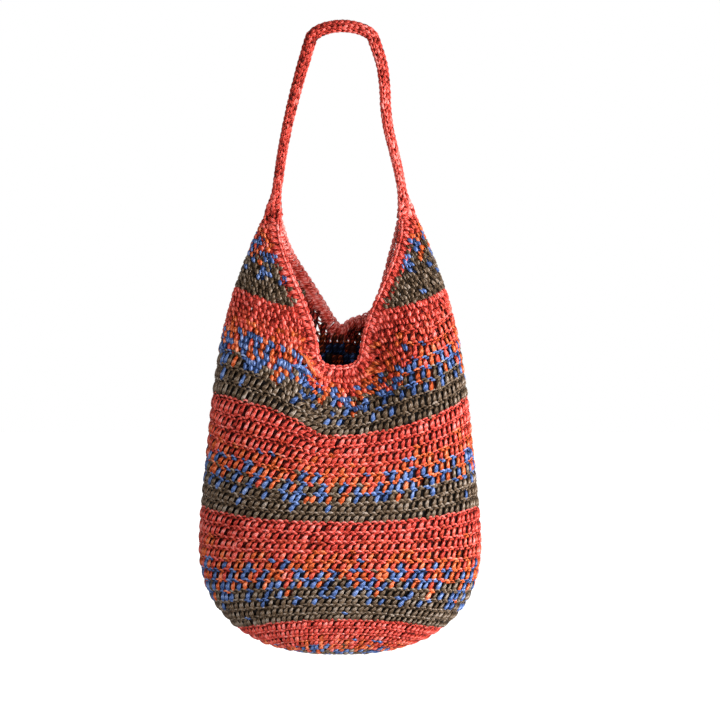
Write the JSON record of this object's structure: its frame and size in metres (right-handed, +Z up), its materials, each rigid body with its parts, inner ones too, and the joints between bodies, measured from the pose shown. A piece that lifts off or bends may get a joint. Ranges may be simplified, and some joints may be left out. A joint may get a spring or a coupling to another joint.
{
  "type": "crocheted shoulder bag",
  "caption": "Crocheted hobo shoulder bag in striped raffia yarn: a deep rounded pouch with V-cut neck, folded side peaks and one crocheted cord strap, hanging from its strap.",
  "frame": {"origin": "underside of the strap's top, where a hook, a shoulder or a hand holds the bag", "axes": "+Z up along the hanging bag, the bag's front towards -Y, +X to the right seen from the front"},
  "size_m": [0.27, 0.15, 0.6031],
  "materials": {
    "striped_raffia": "matt paper raffia yarn, crocheted, striped coral, orange, blue and olive brown",
    "coral_raffia": "matt paper raffia yarn, crocheted"
  },
  "bodies": {
    "root": {"crochet_body": "striped_raffia", "front_neck_edging": "coral_raffia", "back_neck_edging": "coral_raffia", "shoulder_strap": "coral_raffia"}
  },
  "joints": []
}
